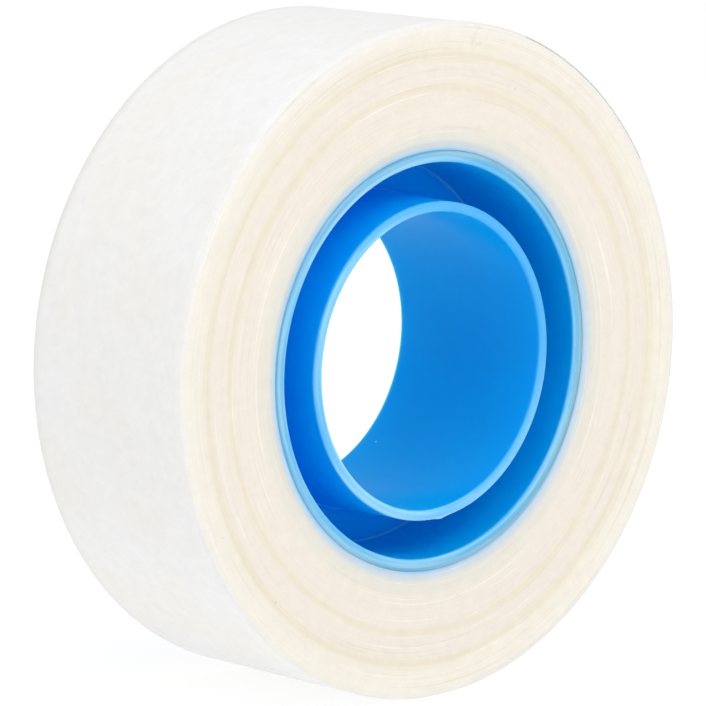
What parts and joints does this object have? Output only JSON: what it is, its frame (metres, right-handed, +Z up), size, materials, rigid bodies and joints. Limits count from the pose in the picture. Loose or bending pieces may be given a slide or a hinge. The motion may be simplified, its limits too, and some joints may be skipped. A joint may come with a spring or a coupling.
{
  "type": "film tape roll",
  "caption": "Roll of matte white adhesive film tape wound on a blue double-walled plastic core, with a free end that peels up.",
  "frame": {"origin": "centre of the core's bore, midway along the core and across the width of the outer laps", "axes": "+Y along the roll's axis from its front face to its back face; +Z up, with the roll standing on its rim; +X to the right seen from the front"},
  "size_m": [0.0569, 0.0194, 0.0569],
  "materials": {
    "blue_plastic": "saturated mid-blue translucent moulded polypropylene, smooth and semi-gloss, lighter at its thin rims",
    "white_film": "matte translucent white film; the wound edges show as a cream side face with faint rings"
  },
  "bodies": {
    "roll": {"core": "blue_plastic", "wound_tape": "white_film"},
    "tape_end_1": {"tape_end_1": "white_film"},
    "tape_end_2": {"tape_end_2": "white_film"},
    "tape_end_3": {"tape_end_3": "white_film"},
    "tape_end_4": {"tape_end_4": "white_film"},
    "tape_end_5": {"tape_end_5": "white_film"}
  },
  "joints": [
    {"name": "peel_1", "type": "hinge", "parent": "roll", "child": "tape_end_1", "pos_m": [0.01004, 0, 0.02667], "axis": [0, -1, 0], "range_deg": [0, 16]},
    {"name": "peel_2", "type": "hinge", "parent": "tape_end_1", "child": "tape_end_2", "pos_m": [0.01344, 0, 0.02514], "axis": [0, -1, 0], "range_deg": [0, 16.01]},
    {"name": "peel_3", "type": "hinge", "parent": "tape_end_2", "child": "tape_end_3", "pos_m": [0.0166, 0, 0.02317], "axis": [0, -1, 0], "range_deg": [0, 13.51]},
    {"name": "peel_4", "type": "hinge", "parent": "tape_end_3", "child": "tape_end_4", "pos_m": [0.01948, 0, 0.0208], "axis": [0, -1, 0], "range_deg": [0, 11.01]},
    {"name": "peel_5", "type": "hinge", "parent": "tape_end_4", "child": "tape_end_5", "pos_m": [0.02203, 0, 0.01808], "axis": [0, -1, 0], "range_deg": [0, 8.51]}
  ],
  "couplings": [
    {"joint": "peel_2", "follows": "peel_1", "ratio": 1},
    {"joint": "peel_3", "follows": "peel_1", "ratio": 0.8438},
    {"joint": "peel_4", "follows": "peel_1", "ratio": 0.6875},
    {"joint": "peel_5", "follows": "peel_1", "ratio": 0.5312}
  ]
}
